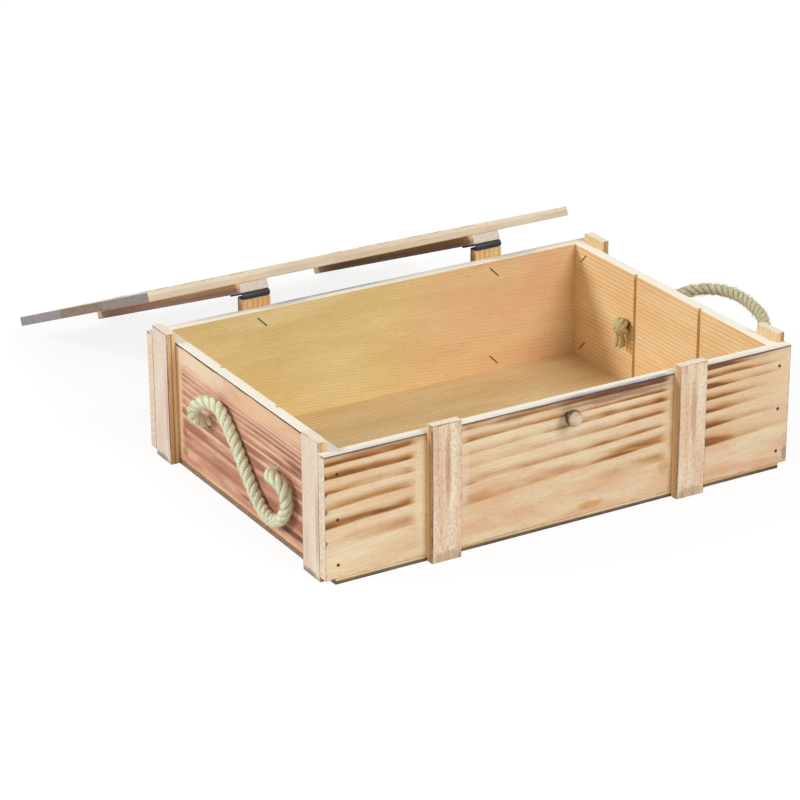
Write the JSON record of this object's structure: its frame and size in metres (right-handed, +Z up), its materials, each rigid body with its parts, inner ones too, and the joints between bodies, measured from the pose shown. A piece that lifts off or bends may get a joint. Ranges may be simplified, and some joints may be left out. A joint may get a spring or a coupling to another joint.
{
  "type": "wooden wine box",
  "caption": "Low open wooden wine case with battened walls, a board lid on flexible straps folded back to the ground, and rope handles",
  "frame": {"origin": "middle of the underside of the box", "axes": "+X along the long front towards the right, +Y from the front to the hinged back, +Z up"},
  "size_m": [0.5024, 0.5934, 0.1291],
  "materials": {
    "wall_pine": "flame-darkened planed pine",
    "end_pine": "flame-darkened planed pine, strongly banded",
    "panel_pine": "plain planed pine",
    "batten_pine": "lightly flamed pine, dark along one edge",
    "lid_pine": "flame-darkened planed pine",
    "knob_wood": "pale turned wood",
    "fastener_steel": "dull galvanised wire",
    "strap_leather": "black, lightly grained",
    "rope_fibre": "twisted pale natural fibre"
  },
  "bodies": {
    "box": {"front_wall": "wall_pine", "back_wall": "wall_pine", "left_end_wall": "end_pine", "right_end_wall": "end_pine", "bottom_panel": "panel_pine", "front_left_corner_batten": "batten_pine", "front_right_corner_batten": "batten_pine", "back_left_corner_batten": "batten_pine", "back_right_corner_batten": "batten_pine", "front_left_batten": "batten_pine", "front_right_batten": "batten_pine", "back_left_batten": "batten_pine", "back_right_batten": "batten_pine", "closure_knob": "knob_wood", "wall_nails": "fastener_steel", "batten_staples": "fastener_steel", "bottom_staples": "fastener_steel", "left_strap_box_leaf": "strap_leather", "right_strap_box_leaf": "strap_leather", "strap_box_staples": "fastener_steel", "left_rope_ends": "rope_fibre", "right_rope_ends": "rope_fibre", "left_rope_knots": "rope_fibre", "right_rope_knots": "rope_fibre"},
    "straps": {"left_strap_fold": "strap_leather", "right_strap_fold": "strap_leather"},
    "lid": {"lid_board_1": "lid_pine", "lid_board_2": "lid_pine", "lid_board_3": "lid_pine", "left_lid_batten": "batten_pine", "right_lid_batten": "batten_pine", "lid_staples": "fastener_steel", "left_strap_lid_leaf": "strap_leather", "right_strap_lid_leaf": "strap_leather", "strap_lid_staples": "fastener_steel"},
    "left_handle": {"left_rope_bight": "rope_fibre"},
    "right_handle": {"right_rope_bight": "rope_fibre"}
  },
  "joints": [
    {"name": "strap_bend", "type": "hinge", "parent": "box", "child": "straps", "pos_m": [0, 0.1505, 0.1188], "axis": [1, 0, 0], "range_deg": [0, 101.28], "deforming": ["left_strap_fold", "right_strap_fold"]},
    {"name": "lid_hinge", "type": "hinge", "parent": "straps", "child": "lid", "pos_m": [0, 0.1505, 0.1188], "axis": [1, 0, 0], "range_deg": [0, 101.28], "deforming": ["left_strap_fold", "right_strap_fold"]},
    {"name": "left_handle_swing", "type": "hinge", "parent": "box", "child": "left_handle", "pos_m": [-0.208, 0, 0.0525], "axis": [0, 1, 0], "range_deg": [0, 70], "deforming": ["left_rope_bight"]},
    {"name": "right_handle_swing", "type": "hinge", "parent": "box", "child": "right_handle", "pos_m": [0.21, 0, 0.0565], "axis": [0, -1, 0], "range_deg": [-65, 50], "deforming": ["right_rope_bight"]}
  ],
  "couplings": [
    {"joint": "strap_bend", "follows": "lid_hinge", "ratio": 1}
  ]
}
